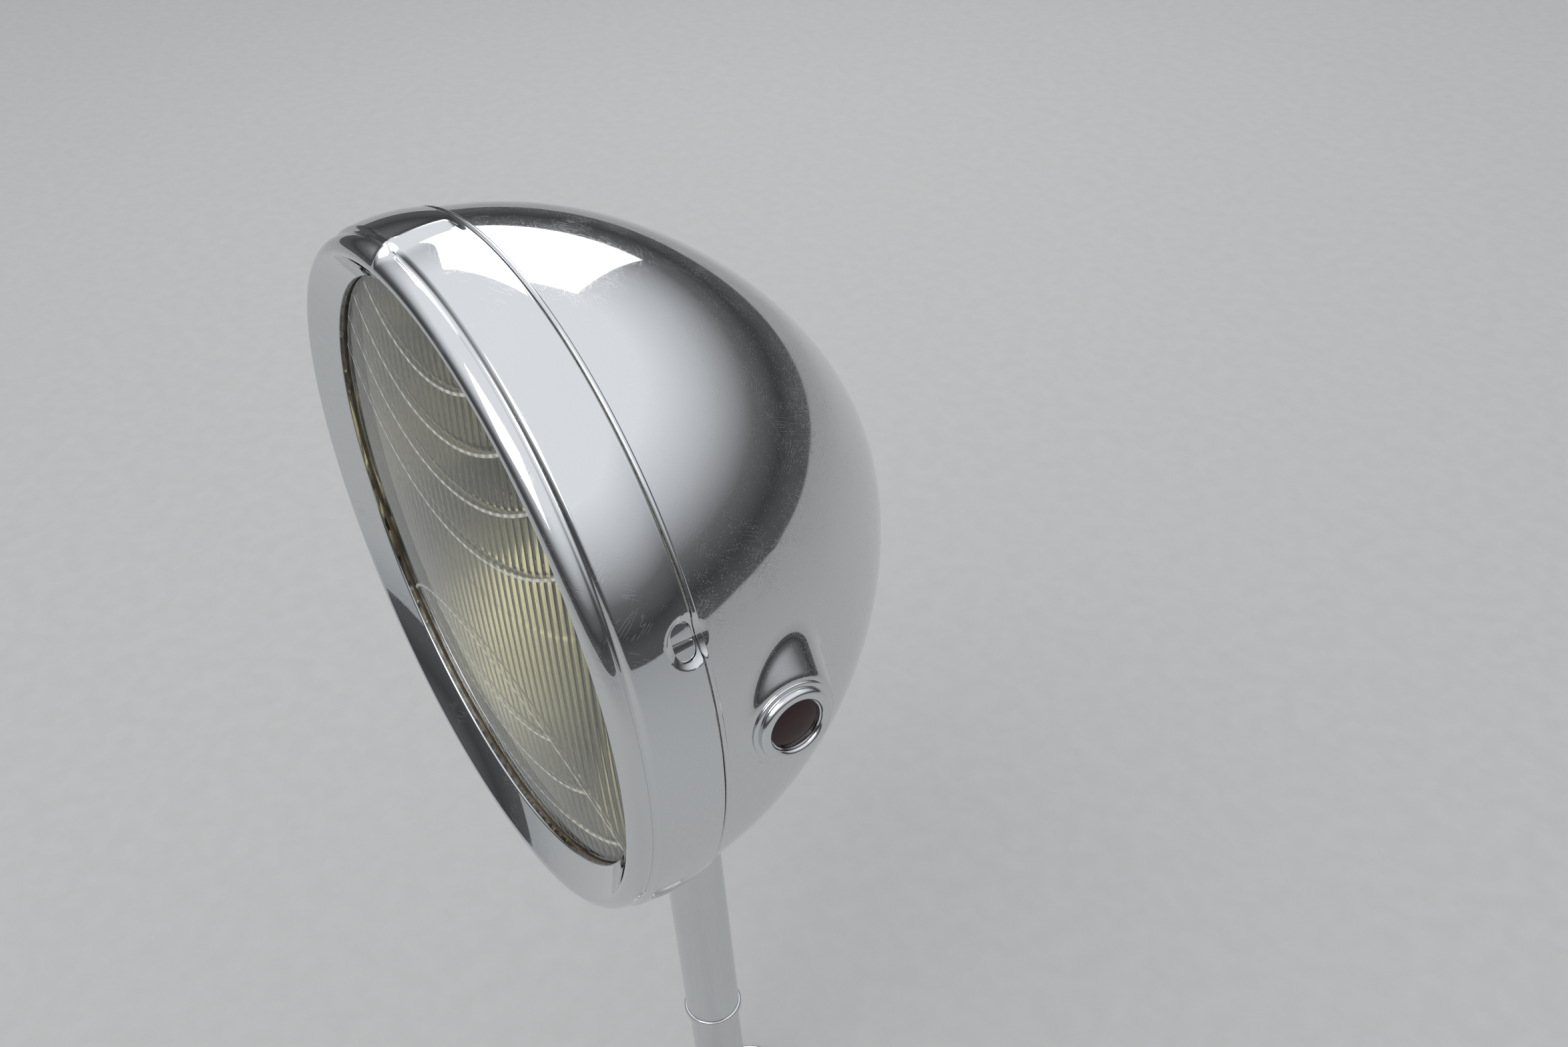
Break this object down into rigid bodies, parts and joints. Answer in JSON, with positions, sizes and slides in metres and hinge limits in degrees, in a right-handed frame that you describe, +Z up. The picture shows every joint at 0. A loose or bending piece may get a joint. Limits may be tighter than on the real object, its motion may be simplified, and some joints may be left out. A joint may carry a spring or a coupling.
{
  "type": "headlamp on its post",
  "caption": "Chromed headlamp of a vintage car on its own post and foot, with fluted glass in a hinged door, a red side tell-tale and a socket for a tie bar",
  "frame": {"origin": "centre of the foot's bottom face, on the post's axis", "axes": "+Z up along the post, -Y the way the lamp shines, +X the outer side of the car's left-hand lamp"},
  "size_m": [0.3102, 0.1889, 0.5964],
  "materials": {
    "chrome": "polished, finely scratched and pitted",
    "plated_steel": "dull plating",
    "silvering": "silvered",
    "lens_glass": "clear, slightly yellowed, fluted",
    "bulb_glass": "clear",
    "ruby_glass": "dark red, polished",
    "brass": "plain",
    "rubber": "matt"
  },
  "bodies": {
    "lamp": {"bowl": "chrome", "pedestal": "chrome", "hinge_bracket": "chrome", "hinge_pin": "plated_steel", "reflector": "silvering", "reflector_gasket": "rubber", "bulb_socket": "plated_steel", "bulb_base": "brass", "bulb_glass": "bulb_glass", "jewel_bezel": "chrome", "jewel_glass": "ruby_glass", "tie_bar_socket": "chrome", "tie_bar_screw": "chrome", "post_collar": "plated_steel", "mount_nut": "plated_steel", "post_upper": "chrome", "post_ring": "chrome", "post_lower": "chrome", "foot": "chrome"},
    "door": {"door": "chrome", "hinge_leaf": "chrome", "lens": "lens_glass", "lens_gasket": "rubber", "lens_ring": "plated_steel", "lens_clips": "plated_steel", "lock_screw": "chrome"}
  },
  "joints": [
    {"name": "door_hinge", "type": "hinge", "parent": "lamp", "child": "door", "pos_m": [-0.14517, -0.052, 0.39259], "axis": [0.3338, 0, -0.9426], "range_deg": [0, 100]}
  ]
}
